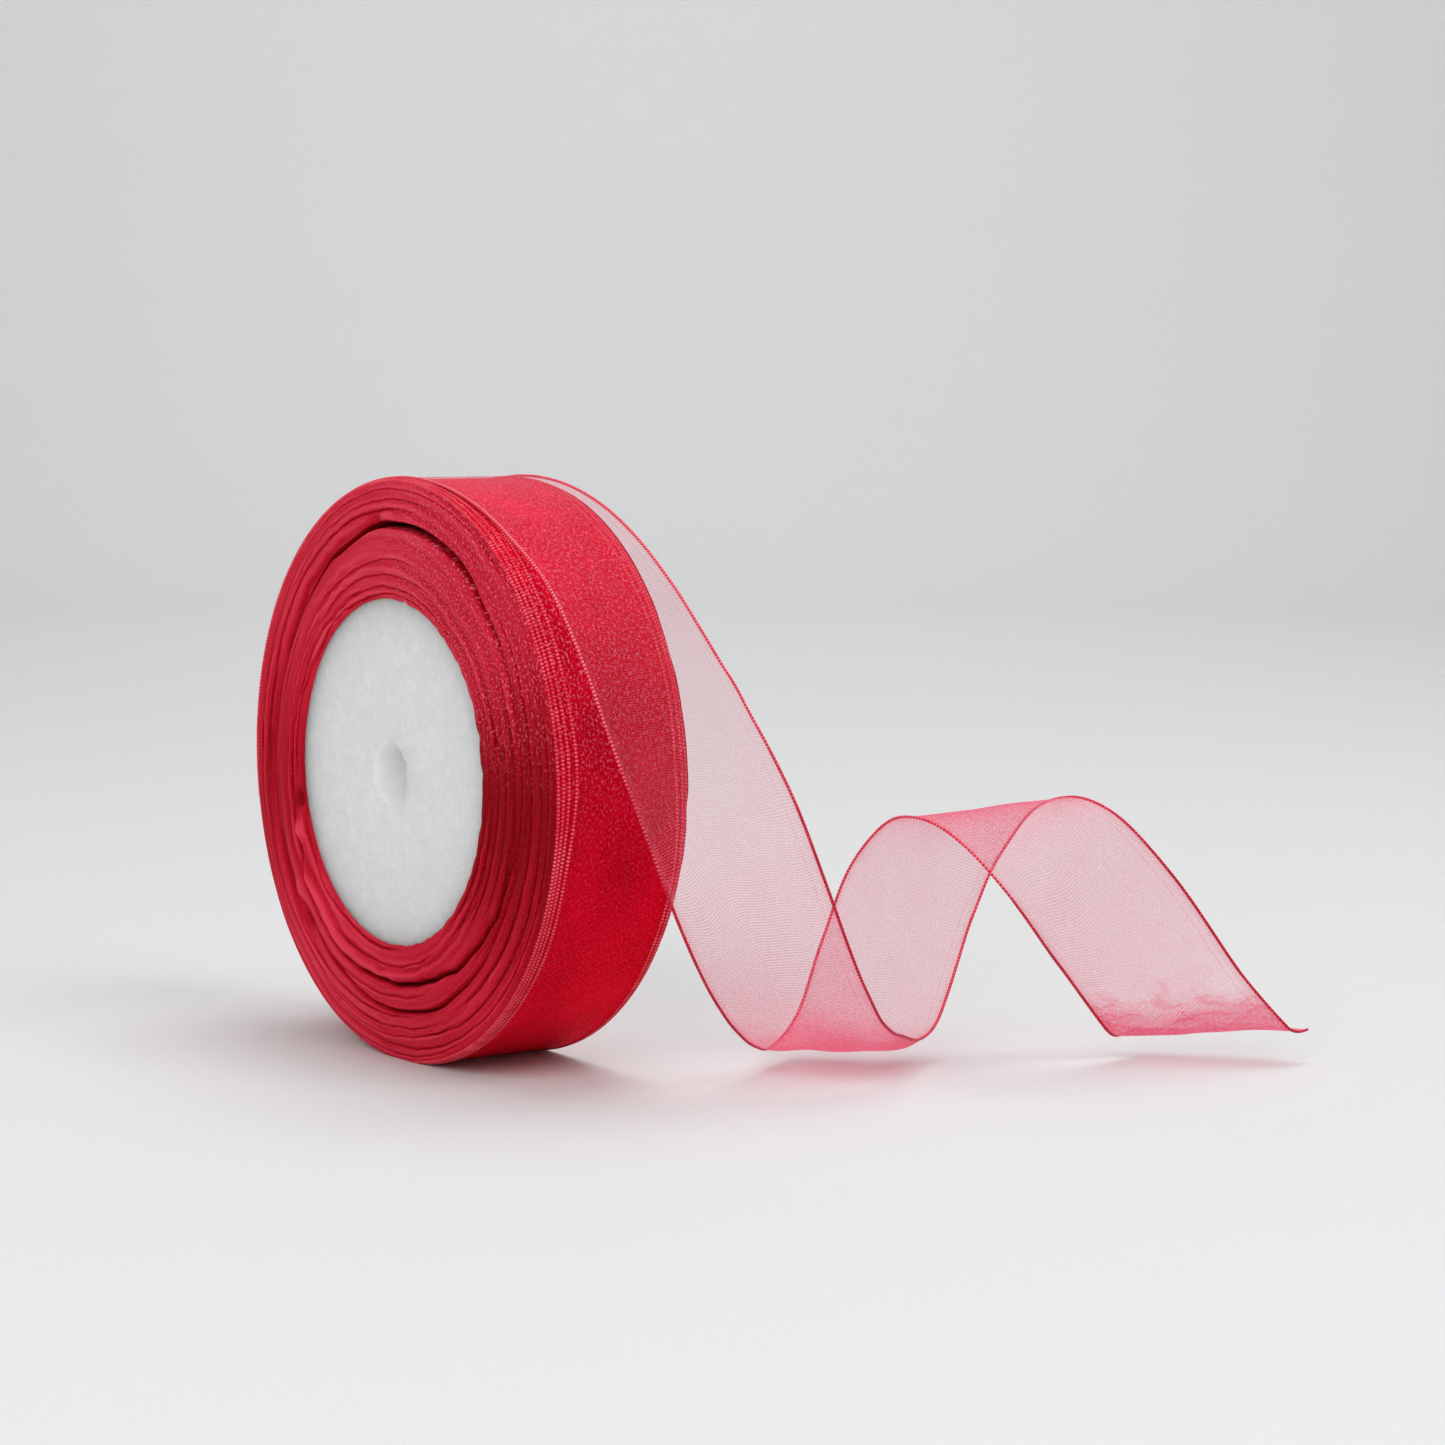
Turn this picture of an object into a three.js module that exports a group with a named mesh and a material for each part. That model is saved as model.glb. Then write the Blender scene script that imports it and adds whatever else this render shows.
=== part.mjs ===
// A roll of sheer red organza ribbon, 25 mm wide, on a white foam core, with its loose end curling across
// the table. Millimetres, +Z up. The spool's axis runs along Y and its open face looks towards -Y. The roll
// stands on Z = 0 with the origin under its middle, and the loose end leaves it on the +X side.

import * as THREE from 'three';

// Driving dimensions
const RIBBON_WIDTH = 25;
const STRIP_THICKNESS = 0.5;      // solid thickness of a single layer, thicker than the real cloth
const ROLL_RADIUS = 50;
const ROLL_FLATTENING = 0.35;     // how far the pack's own weight flattens it where it stands
const CORE_RADIUS = 29.2;
const CORE_THICKNESS = 24.4;
const CORE_FRONT = -14.2;
const CORE_CHAMFER = 0.6;
const HOLE_RADIUS = 5;
const WINDING_START = 29.6;       // inner radius of the first turn
const TAPE_LENGTH = 24;
const TAPE_WIDTH = 14;
const TAPE_CLEARANCE = 0.1;
const GROUP_BOUNDARY = 40.3;      // radius of the groove between the inner and the outer turns
const GAP = 0.3;                  // clearance between neighbouring solids
const LATHE_STEPS = 120;
const STEPS_ACROSS = 4;           // divisions of a strip over its width, then of each one along its length
const LAST_TURN_STEPS = 45;
const DROP_STEPS = 34;
const RISE_STEPS = 20;
const FALL_STEPS = 20;

// The turns slid along the axis in bands while they were wound: [outer radius, place of the front edges]
const INNER_BANDS = [[33, -14.6], [37, -14.8], [GROUP_BOUNDARY - GAP / 2, -14.3]];
const OUTER_BANDS = [[43, -13.7], [46, -13.4], [48.6, -12.9], [ROLL_RADIUS, -12.5]];

// The last turn lies loose on the roll. Angles run from the top, towards the side where the ribbon leaves.
const LAST_TURN_START = -100;
const DRIFT_START = -60;          // from here the turn drifts backwards along the axis
const DEPARTURE = 35;             // here the ribbon leaves the roll
const DRIFT = 3.6;                // total drift at the departure
const LEAD_IN = 16;               // the tail's first station lies on the roll, this far before the departure

// The free tail after the departure: middle of the strip, then the direction of its width as a turn from +Y
// towards +X and a tilt upwards, in degrees
const TAIL_STATIONS = [
  { at: [40, 4.5, 82.5], turn: -3, tilt: 2 },
  { at: [49, 5.5, 71.5], turn: 2, tilt: 6 },
  { at: [57, 7, 59], turn: 12, tilt: 12 },
  { at: [63, 10, 45.5], turn: 25, tilt: 17 },
  { at: [66, 14, 32], turn: 38, tilt: 18 },
  { at: [66, 20, 19.5], turn: 49, tilt: 14 },
  { at: [61.5, 29.5, 9], turn: 55, tilt: 8 },
  { at: [54, 41, 2.6], turn: 56, tilt: 3 },
  { at: [48, 51, 4], turn: 53, tilt: -12 },
  { at: [46.5, 56.5, 15], turn: 37, tilt: -23 },
  { at: [49.5, 60.5, 29], turn: 19, tilt: -23 },
  { at: [56.5, 63.5, 39.5], turn: 3, tilt: -14 },
  { at: [67, 65, 43], turn: -5, tilt: 8 },
  { at: [78, 68, 38.5], turn: 5, tilt: 30 },
  { at: [85.5, 75, 26.5], turn: 28, tilt: 37 },
  { at: [91, 85, 11], turn: 54, tilt: 34 },
  { at: [93, 95, 3], turn: 66, tilt: 20 },
  { at: [91.5, 104, 0.5], turn: 72, tilt: 6 },
];
const BOTTOM_BEND = 8.4;          // station numbers of the two bends; the departure is station 0
const ARCH_BEND = 12.7;
const CUT_FRONT = 16;             // the end is cut obliquely: the front edge stops here
const CUT_BACK = 17.2;            // and the back edge runs on to here

const ROLL_CENTRE = ROLL_RADIUS - ROLL_FLATTENING;
const TURN_RADIUS = ROLL_RADIUS + GAP + STRIP_THICKNESS / 2;

const foamWhite = new THREE.MeshStandardMaterial({ color: 0xdcdddb, roughness: 0.85, metalness: 0 });
const packedRed = new THREE.MeshStandardMaterial({ color: 0xc4203f, roughness: 0.7, metalness: 0 });
const sheerPink = new THREE.MeshStandardMaterial({
  color: 0xe46a80, roughness: 0.6, metalness: 0, side: THREE.DoubleSide,
});
const tapeClear = new THREE.MeshStandardMaterial({ color: 0xd8d2bf, roughness: 0.35, metalness: 0 });

const ribbonSpool = new THREE.Group();

function radians(degrees) {
  return THREE.MathUtils.degToRad(degrees);
}

function addPart(name, geometry, material) {
  const mesh = new THREE.Mesh(geometry, material);
  mesh.name = name;
  ribbonSpool.add(mesh);
}

// A ring turned about the spool's axis from a closed outline of [radius, place along the axis]
function turnedRing(outline) {
  const points = [...outline, outline[0]].map(([radius, along]) => new THREE.Vector2(radius, along));
  const geometry = new THREE.LatheGeometry(points, LATHE_STEPS);
  geometry.translate(0, 0, ROLL_CENTRE);
  return geometry;
}

// Outline of a group of turns: every band is as wide as the ribbon, and its front edges stand where they slid
function windingOutline(innerRadius, bands) {
  const front = [];
  const back = [];
  let from = innerRadius;
  for (const [to, frontEdge] of bands) {
    front.push([from, frontEdge], [to, frontEdge]);
    back.push([from, frontEdge + RIBBON_WIDTH], [to, frontEdge + RIBBON_WIDTH]);
    from = to;
  }
  return [...front, ...back.reverse()];
}

// The pack is soft: whatever would reach below the table is pressed flat on it
function settle(geometry) {
  const position = geometry.getAttribute('position');
  for (let i = 0; i < position.count; i++) {
    position.setZ(i, Math.max(position.getZ(i), 0));
  }
  return geometry;
}

function foamCore() {
  const back = CORE_FRONT + CORE_THICKNESS;
  return turnedRing([
    [HOLE_RADIUS, CORE_FRONT],
    [CORE_RADIUS - CORE_CHAMFER, CORE_FRONT],
    [CORE_RADIUS, CORE_FRONT + CORE_CHAMFER],
    [CORE_RADIUS, back - CORE_CHAMFER],
    [CORE_RADIUS - CORE_CHAMFER, back],
    [HOLE_RADIUS, back],
  ]);
}

// Where the last turn runs at an angle from the top: its middle, its heading and the direction of its width
function lastTurnAt(angle) {
  const a = radians(angle);
  const eased = Math.max(angle - DRIFT_START, 0) / (DEPARTURE - DRIFT_START);
  const slope = (2 * DRIFT * eased) / (TURN_RADIUS * radians(DEPARTURE - DRIFT_START));
  const outward = new THREE.Vector3(Math.sin(a), 0, Math.cos(a));
  const centre = new THREE.Vector3(0, DRIFT * eased ** 2, ROLL_CENTRE);
  centre.addScaledVector(outward, TURN_RADIUS);
  const heading = new THREE.Vector3(Math.cos(a), slope, -Math.sin(a)).normalize();
  return { centre, heading, across: outward.clone().cross(heading).normalize() };
}

// All stations of the tail: the departure is number 0, and one on the roll before it sets the heading there
function tailStations() {
  const onRoll = [DEPARTURE - LEAD_IN, DEPARTURE].map((angle) => {
    const { centre, across } = lastTurnAt(angle);
    return { centre, across };
  });
  const free = TAIL_STATIONS.map(({ at, turn, tilt }) => ({
    centre: new THREE.Vector3(...at),
    across: new THREE.Vector3(
      Math.sin(radians(turn)) * Math.cos(radians(tilt)),
      Math.cos(radians(turn)) * Math.cos(radians(tilt)),
      Math.sin(radians(tilt)),
    ),
  }));
  return [...onRoll, ...free];
}

const stations = tailStations();
const middleLine = new THREE.CatmullRomCurve3(stations.map((s) => s.centre), false, 'catmullrom');
const widthLine = new THREE.CatmullRomCurve3(stations.map((s) => s.across), false, 'catmullrom');

// Where the tail runs at a station number, which may be fractional
function tailAt(station) {
  const u = (station + 1) / (stations.length - 1);
  return {
    centre: middleLine.getPoint(u),
    heading: middleLine.getTangent(u),
    across: widthLine.getPoint(u).normalize(),
  };
}

// A strip of ribbon along a path. Its front edge may end elsewhere than its back edge, at the oblique cut.
function ribbonStrip(pathAt, start, end, steps, endBack = end) {
  const geometry = new THREE.BoxGeometry(1, 1, 1, steps, STEPS_ACROSS, 1);
  const position = geometry.getAttribute('position');
  const corner = new THREE.Vector3();
  for (let i = 0; i < position.count; i++) {
    corner.fromBufferAttribute(position, i);
    const endHere = THREE.MathUtils.lerp(end, endBack, corner.y + 0.5);
    const { centre, heading, across } = pathAt(THREE.MathUtils.lerp(start, endHere, corner.x + 0.5));
    const thickness = heading.clone().cross(across).normalize();
    centre.addScaledVector(across, corner.y * RIBBON_WIDTH);
    centre.addScaledVector(thickness, corner.z * STRIP_THICKNESS);
    position.setXYZ(i, centre.x, centre.y, centre.z);
  }
  geometry.computeVertexNormals();
  return geometry;
}

// The strip of tape that holds the ribbon's inner end on the core
function starterTape() {
  const inner = CORE_RADIUS + TAPE_CLEARANCE;
  const outer = WINDING_START - TAPE_CLEARANCE;
  const stepAngle = 360 / LATHE_STEPS;
  const steps = Math.round(TAPE_LENGTH / radians(stepAngle) / outer);
  const geometry = new THREE.BoxGeometry(1, 1, 1, steps, 1, 1);
  const position = geometry.getAttribute('position');
  const middle = CORE_FRONT + CORE_THICKNESS / 2;
  for (let i = 0; i < position.count; i++) {
    const a = radians((position.getX(i) + 0.5) * steps * stepAngle);
    const radius = position.getZ(i) > 0 ? outer : inner;
    const along = middle + position.getY(i) * TAPE_WIDTH;
    position.setXYZ(i, radius * Math.sin(a), along, ROLL_CENTRE + radius * Math.cos(a));
  }
  geometry.computeVertexNormals();
  return geometry;
}

// Half a gap, in degrees on the roll and in station numbers on the tail
const halfGapAngle = THREE.MathUtils.radToDeg(GAP / 2 / TURN_RADIUS);
const stationLength = middleLine.getLength() / (stations.length - 1);
const halfGap = GAP / 2 / stationLength;

addPart('foam_core', foamCore(), foamWhite);
addPart('starter_tape', starterTape(), tapeClear);
const innerOutline = windingOutline(WINDING_START, INNER_BANDS);
const outerOutline = windingOutline(GROUP_BOUNDARY + GAP / 2, OUTER_BANDS);
const lastTurnEnd = DEPARTURE - halfGapAngle;
addPart('inner_winding', turnedRing(innerOutline), packedRed);
addPart('outer_winding', settle(turnedRing(outerOutline)), packedRed);
addPart('last_turn', ribbonStrip(lastTurnAt, LAST_TURN_START, lastTurnEnd, LAST_TURN_STEPS), sheerPink);
addPart('tail_drop', ribbonStrip(tailAt, halfGap, BOTTOM_BEND - halfGap, DROP_STEPS), sheerPink);
addPart('tail_rise', ribbonStrip(tailAt, BOTTOM_BEND + halfGap, ARCH_BEND - halfGap, RISE_STEPS), sheerPink);
addPart('tail_fall', ribbonStrip(tailAt, ARCH_BEND + halfGap, CUT_FRONT, FALL_STEPS, CUT_BACK), sheerPink);

export default ribbonSpool;
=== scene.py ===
"""A roll of sheer red organza ribbon on a white foam core, its loose end curling across the table.

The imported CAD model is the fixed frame. Shapes here are worked out in millimetres, in the frame's axes, and
scaled to metres as each mesh is made. The roll's axis runs along Y, with the open face towards -Y.
"""

import math

import bpy
import numpy as np
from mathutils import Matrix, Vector


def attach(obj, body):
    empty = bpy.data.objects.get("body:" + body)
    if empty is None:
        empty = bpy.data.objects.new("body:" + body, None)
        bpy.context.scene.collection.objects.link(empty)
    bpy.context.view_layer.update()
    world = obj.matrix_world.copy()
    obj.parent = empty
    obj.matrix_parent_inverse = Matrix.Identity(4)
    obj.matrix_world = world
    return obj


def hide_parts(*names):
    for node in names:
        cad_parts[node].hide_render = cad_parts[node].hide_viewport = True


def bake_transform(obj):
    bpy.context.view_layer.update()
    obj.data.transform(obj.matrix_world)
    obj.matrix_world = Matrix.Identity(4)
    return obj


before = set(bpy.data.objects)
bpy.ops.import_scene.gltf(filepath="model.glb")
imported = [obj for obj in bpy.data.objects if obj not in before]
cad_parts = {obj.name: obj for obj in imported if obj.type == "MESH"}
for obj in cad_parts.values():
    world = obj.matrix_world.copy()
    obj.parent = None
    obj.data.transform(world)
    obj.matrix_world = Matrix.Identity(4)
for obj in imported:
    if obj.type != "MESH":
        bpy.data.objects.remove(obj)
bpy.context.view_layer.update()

MM = 0.001

# ---------------------------------------------------------------- dimensions shared with the CAD, in mm
RIBBON_WIDTH = 25.0
HALF_WIDTH = RIBBON_WIDTH / 2
ROLL_RADIUS = 50.0
ROLL_CENTRE = 49.65
CORE_RADIUS = 29.2
CORE_FRONT = -14.2
CORE_THICKNESS = 24.4
HOLE_RADIUS = 5.0
TURN_RADIUS = 50.55
LAST_TURN_START = -100.0
DRIFT_START = -60.0
DEPARTURE = 35.0
DRIFT = 3.6
LEAD_IN = 16.0
# middle of the strip, then the direction of its width: turn from +Y towards +X and tilt upwards, in degrees
TAIL_STATIONS = [
    ((40, 4.5, 82.5), -3, 2),
    ((49, 5.5, 71.5), 2, 6),
    ((57, 7, 59), 12, 12),
    ((63, 10, 45.5), 25, 17),
    ((66, 14, 32), 38, 18),
    ((66, 20, 19.5), 49, 14),
    ((61.5, 29.5, 9), 55, 8),
    ((54, 41, 2.6), 56, 3),
    ((48, 51, 4), 53, -12),
    ((46.5, 56.5, 15), 37, -23),
    ((49.5, 60.5, 29), 19, -23),
    ((56.5, 63.5, 39.5), 3, -14),
    ((67, 65, 43), -5, 8),
    ((78, 68, 38.5), 5, 30),
    ((85.5, 75, 26.5), 28, 37),
    ((91, 85, 11), 54, 34),
    ((93, 95, 3), 66, 20),
    ((91.5, 104, 0.5), 72, 6),
]
BOTTOM_BEND = 8.4
ARCH_BEND = 12.7
CUT_FRONT = 16.0
CUT_BACK = 17.2


# ---------------------------------------------------------------- mesh helpers
def mesh_object(name, vertices, faces, uv=None, tone=None, materials=(), material_index=None):
    """A smooth-shaded mesh. vertices in mm; uv and tone are per vertex."""
    mesh = bpy.data.meshes.new(name)
    mesh.vertices.add(len(vertices))
    mesh.vertices.foreach_set("co", (np.asarray(vertices, float) * MM).astype(np.float32).ravel())
    faces = np.asarray(faces, np.int32)
    sides = faces.shape[1]
    mesh.loops.add(faces.size)
    mesh.loops.foreach_set("vertex_index", faces.ravel())
    mesh.polygons.add(len(faces))
    mesh.polygons.foreach_set("loop_start", np.arange(len(faces), dtype=np.int32) * sides)
    mesh.update(calc_edges=True)
    mesh.polygons.foreach_set("use_smooth", np.ones(len(faces), bool))
    if uv is not None:
        layer = mesh.uv_layers.new(name="weave")
        layer.data.foreach_set("uv", np.asarray(uv, np.float32)[faces.ravel()].ravel())
    if tone is not None:
        attribute = mesh.attributes.new("tone", "FLOAT", "POINT")
        attribute.data.foreach_set("value", np.asarray(tone, np.float32))
    for material in materials:
        mesh.materials.append(material)
    if material_index is not None:
        mesh.polygons.foreach_set("material_index", np.asarray(material_index, np.int32))
    mesh.validate()
    mesh.update()
    piece = bpy.data.objects.new(name, mesh)
    bpy.context.scene.collection.objects.link(piece)
    return piece


def grid_faces(rows, columns, close_rows=False, close_columns=False, first=0):
    """Quads over a rows x columns grid of vertices. A closed direction joins its last line to its first."""
    r = np.arange(rows if close_rows else rows - 1)
    c = np.arange(columns if close_columns else columns - 1)
    r, c = np.meshgrid(r, c, indexing="ij")
    r2, c2 = (r + 1) % rows, (c + 1) % columns
    quads = np.stack([r * columns + c, r2 * columns + c, r2 * columns + c2, r * columns + c2], -1)
    return quads.reshape(-1, 4) + first


def smoothstep(x, low, high):
    t = np.clip((np.asarray(x, float) - low) / (high - low), 0, 1)
    return t * t * (3 - 2 * t)


def falloff(distance, reach):
    """1 at no distance, falling smoothly to 0 at the reach."""
    return 1 - smoothstep(distance, 0.0, reach)


def bell(distance, width):
    return np.exp(-((distance / width) ** 2))


def ring_noise(theta, seed, lowest, highest, decay=1.0):
    """Noise round the ring, of about unit size, made of waves that fit it lowest to highest times."""
    rng = np.random.default_rng(seed)
    total, power = np.zeros_like(theta), 0.0
    for k in range(lowest, highest + 1):
        a, b = rng.normal(size=2)
        weight = k**-decay
        total = total + weight * (a * np.cos(k * theta) + b * np.sin(k * theta))
        power += weight**2
    return total / math.sqrt(power)


def line_noise(x, seed, longest, shortest, count):
    """Noise along a line, of about unit size, made of waves between two lengths."""
    rng = np.random.default_rng(seed)
    total = np.zeros_like(np.asarray(x, float))
    for length in np.geomspace(longest, shortest, count):
        total = total + rng.normal() * np.sin(2 * np.pi * x / length + rng.uniform(0, 2 * np.pi))
    return total / math.sqrt(count / 2)


# ---------------------------------------------------------------- node helpers
def new_material(name):
    material = bpy.data.materials.new(name)
    material.use_nodes = True
    tree = material.node_tree
    tree.nodes.clear()
    return material, tree


class Signal:
    """A value worked out by shader nodes. Arithmetic with signals adds the nodes that carry it out."""

    def __init__(self, socket):
        self.socket = socket
        self.tree = socket.id_data

    def __add__(self, other):
        return calc("ADD", self, other)

    def __sub__(self, other):
        return calc("SUBTRACT", self, other)

    def __rsub__(self, other):
        return calc("SUBTRACT", other, self)

    def __mul__(self, other):
        return calc("MULTIPLY", self, other)

    def __truediv__(self, other):
        return calc("DIVIDE", self, other)

    def __rtruediv__(self, other):
        return calc("DIVIDE", other, self)

    def __pow__(self, other):
        return calc("POWER", self, other)

    def __abs__(self):
        return calc("ABSOLUTE", self)


def node(tree, kind, inputs=None, **settings):
    """A shader node. inputs maps a socket's name or number to a plain value or a signal."""
    made = tree.nodes.new("ShaderNode" + kind)
    for key, value in settings.items():
        setattr(made, key, value)
    for key, value in (inputs or {}).items():
        if isinstance(value, Signal):
            tree.links.new(value.socket, made.inputs[key])
        else:
            made.inputs[key].default_value = value
    return made


def signal(tree, kind, output, inputs=None, **settings):
    """One output, by name or number, of a new shader node."""
    return Signal(node(tree, kind, inputs, **settings).outputs[output])


def calc(operation, *values):
    tree = next(value.tree for value in values if isinstance(value, Signal))
    return signal(tree, "Math", 0, dict(enumerate(values)), operation=operation)


def cosine(value):
    return calc("COSINE", value)


def waves(value, pitch):
    """A cosine with the given pitch."""
    return cosine(value * (2 * math.pi / pitch))


def clamped(value):
    """The same signal, which the node that makes it now keeps from 0 to 1."""
    value.socket.node.use_clamp = True
    return value


def remap(value, from_low, from_high, to_low=0.0, to_high=1.0, smooth=False):
    inputs = {"Value": value, "From Min": from_low, "From Max": from_high}
    inputs.update({"To Min": to_low, "To Max": to_high})
    kind = "SMOOTHSTEP" if smooth else "LINEAR"
    return signal(value.tree, "MapRange", "Result", inputs, interpolation_type=kind)


def ramp(value, stops):
    made = node(value.tree, "ValToRGB", {"Fac": value})
    elements = made.color_ramp.elements
    while len(elements) < len(stops):
        elements.new(0.5)
    for element, (place, colour) in zip(elements, stops):
        element.position = place
        element.color = (*colour, 1.0)
    return Signal(made.outputs["Color"])


def mix_colour(factor, first, second):
    first, second = (c if isinstance(c, Signal) else (*c, 1.0) for c in (first, second))
    return signal(factor.tree, "Mix", 2, {0: factor, 6: first, 7: second}, data_type="RGBA")


def weave_coordinates(tree):
    """The weave's vector, and its millimetres along and across the ribbon."""
    uv = signal(tree, "UVMap", "UV", uv_map="weave")
    split = node(tree, "SeparateXYZ", {0: uv})
    return uv, Signal(split.outputs["X"]), Signal(split.outputs["Y"])


def scaled(vector, x, y=None, z=None):
    factors = (x, x if y is None else y, x if z is None else z)
    return signal(vector.tree, "VectorMath", 0, {0: vector, 1: factors}, operation="MULTIPLY")


def noise(vector, scale, detail=2.0, roughness=0.5):
    inputs = {"Vector": vector, "Scale": scale, "Detail": detail, "Roughness": roughness}
    return signal(vector.tree, "TexNoise", "Fac", inputs)


def relief(height, strength, distance):
    """A normal bent by a height. The distance, in metres, is what one unit of height stands for."""
    inputs = {"Strength": strength, "Distance": distance, "Height": height}
    return signal(height.tree, "Bump", "Normal", inputs)


def principled(colour, normal, roughness, specular, sheen=(), more=None):
    """A principled shader. sheen is its weight, roughness and tint; more holds other inputs by name."""
    inputs = {"Base Color": colour, "Roughness": roughness, "Specular IOR Level": specular, "Normal": normal}
    inputs.update(zip(("Sheen Weight", "Sheen Roughness", "Sheen Tint"), sheen))
    inputs.update(more or {})
    return signal(normal.tree, "BsdfPrincipled", 0, inputs)


def finish_material(material, shader):
    node(shader.tree, "OutputMaterial", {"Surface": shader})
    return material


ROLL_ALONG = -118.5               # weave coordinate of the beginning of the last turn
BEND_ALONG = 121.0                # weave coordinate of the bottom bend
CUT_ALONG = 236.1                 # weave coordinates of the oblique cut: at mid width, and its slant
CUT_SLANT = 0.605
WEFT_PITCH = 0.46
WARP_PITCH = 0.31
BEAD_PITCH = 0.65
BEAT_PITCH = 0.95
TURN_PITCH = 0.34                 # spacing of the fine lines on the open face
FACE_ARC = 40.0                   # radius at which the face's weave coordinate is true to length


def threads(tree):
    """How much weft and warp thread covers each place, from 0 to 1. The weft bows on its way across."""
    uv, along, across = weave_coordinates(tree)
    wander = noise(scaled(uv, 0.022, 0.075), 1.0, 1.0, 0.4)
    ripple = noise(scaled(uv, 0.10, 0.22), 1.0, 1.0)
    weft = remap(waves(along + (wander * 11.0 + ripple * 0.45), WEFT_PITCH), -0.5, 0.9, smooth=True)
    slip = noise(scaled(uv, 0.03, 0.30), 1.0, 1.0)
    warp = remap(waves(across + slip * 0.9, WARP_PITCH), -0.4, 0.95, smooth=True)
    return uv, along, across, weft, warp


def organza_material():
    material, tree = new_material("sheer_organza")
    uv, along, across, weft, warp = threads(tree)
    cloudy = noise(scaled(uv, 0.12), 1.0, 3.0)
    slub = noise(scaled(uv, 0.25, 3.2), 1.0, 2.0)
    border = remap(abs(across), 10.6, 12.2, 0.0, 0.16, smooth=True)
    drawn = remap(abs(across - 10.3), 0.0, 0.16, 0.20, 0.0)
    cover = weft * 0.32 + warp * 0.17
    # past the bend on the table the threads lie closer and the weave looks smoother
    closer = remap(along, 100.0, 140.0, smooth=True)
    cover = cover * remap(closer, 0.0, 1.0, 1.0, 0.62) + closer * 0.085
    cover = cover + (cloudy - 0.5) * 0.12 + (slub - 0.5) * 0.08
    cover = clamped(cover + (border + drawn) + 0.06)
    # pulled straight where it leaves the roll, the cloth is thinner there
    cover = cover * remap(abs(along - 18.0), 12.0, 62.0, 0.45, 1.0, smooth=True)
    # the weave is bunched up where the cloth turns on the table and along its cut end
    turned = remap(abs(along - BEND_ALONG), 2.0, 13.0, 0.42, 0.0, smooth=True)
    turned = turned * remap(cloudy, 0.30, 0.62, 0.45, 1.0, smooth=True)
    oblique = along - across * CUT_SLANT + (cloudy - 0.5) * 9.0
    bunched = remap(oblique, CUT_ALONG - 14.0, CUT_ALONG - 5.0, 0.0, 0.50, smooth=True)
    crease = noise(signal(tree, "CombineXYZ", 0, {0: oblique * 0.42, 1: across * 0.10}), 1.0, 1.0)
    crease = remap(abs(crease - 0.5), 0.0, 0.05, 0.20, 0.0, smooth=True)
    crease = crease * remap(oblique, CUT_ALONG - 17.0, CUT_ALONG - 9.0, smooth=True)
    cover = clamped(cover + (turned + (bunched + crease)))
    # where the last turn comes out of the pack its cloth cannot be told from the turn below
    cover = cover * remap(along, ROLL_ALONG, ROLL_ALONG + 22.0, smooth=True)
    # a slanting line of sight meets more thread
    facing = signal(tree, "LayerWeight", "Facing", {"Blend": 0.5})
    slant = calc("MAXIMUM", 1.0 - facing, remap(along, 35.0, 85.0, 0.6, 0.10, smooth=True))
    solid = 1.0 - (1.0 - cover) ** (1.0 / slant)
    spark = noise(scaled(uv, 1.5, 2.3), 1.0, 2.0, 0.6)
    on_roll = remap(along, -5.0, 25.0, 1.0, 0.0, smooth=True)
    bump = relief(weft + warp * 0.7 + spark * on_roll * 5.0, 0.5, 0.00010)
    tint = mix_colour(cloudy, (1.0, 0.052, 0.150), (1.0, 0.105, 0.235))
    tint = mix_colour(remap(along, 0.0, 60.0, smooth=True), tint, (1.0, 0.175, 0.285))
    # painted glints: pale pink specks where the light catches the threads, strongest on the roll and where
    # the ribbon leaves it
    painted_sparkle = remap(spark, 0.50, 0.62, 0.0, 1.0, smooth=True)
    painted_sparkle = painted_sparkle * remap(along, -62.0, 30.0, 0.35, 1.0, smooth=True)
    tint = mix_colour(painted_sparkle, tint, (1.0, 0.52, 0.60))
    more = {"Metallic": on_roll * 0.5}
    sheen = (0.20, 0.35, (1.0, 0.50, 0.56, 1.0))
    yarn = principled(tint, bump, roughness=0.42, specular=0.35, sheen=sheen, more=more)
    glow = signal(tree, "BsdfTranslucent", 0, {"Color": (1.0, 0.14, 0.27, 1.0), "Normal": bump})
    # on the roll no light comes through from behind
    backlit = remap(along, -20.0, 20.0, 0.15, 0.5, smooth=True)
    thread = signal(tree, "MixShader", 0, {0: backlit, 1: yarn, 2: glow})
    holes = signal(tree, "BsdfTransparent", 0, {"Color": (1.0, 0.915, 0.94, 1.0)})
    return finish_material(material, signal(tree, "MixShader", 0, {0: solid, 1: holes, 2: thread}))


def selvage_material(name, colours, worn_low=0.35, painted_highlights=False):
    """A corded edge: satin thread whose crossings show as a row of paler dots."""
    material, tree = new_material(name)
    uv, along, _ = weave_coordinates(tree)
    beads = remap(waves(along, BEAD_PITCH), -0.6, 0.9)
    worn = noise(scaled(uv, 0.35), 1.0, 2.0)
    pale = beads * remap(worn, 0.25, 0.75, worn_low, 1.0)
    # painted highlight: the cords are painted paler on the roll and at the arch's crest, where the light
    # falls on them, and a little darker down the tail
    if painted_highlights:
        pale = pale * remap(along, 10.0, 90.0, 1.0, 0.75, smooth=True)
        pale = clamped(pale + remap(along, 10.0, 75.0, 0.44, 0.0, smooth=True))
        pale = clamped(pale + remap(abs(along - 158.0), 20.0, 55.0, 0.42, 0.0, smooth=True))
    colour = ramp(pale, list(zip((0.0, 0.55, 1.0), colours)))
    bump = relief(beads, 0.6, 0.0001)
    sheen = (0.08, 0.4, (1.0, 0.4, 0.46, 1.0))
    return finish_material(material, principled(colour, bump, roughness=0.45, specular=0.20, sheen=sheen))


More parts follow.
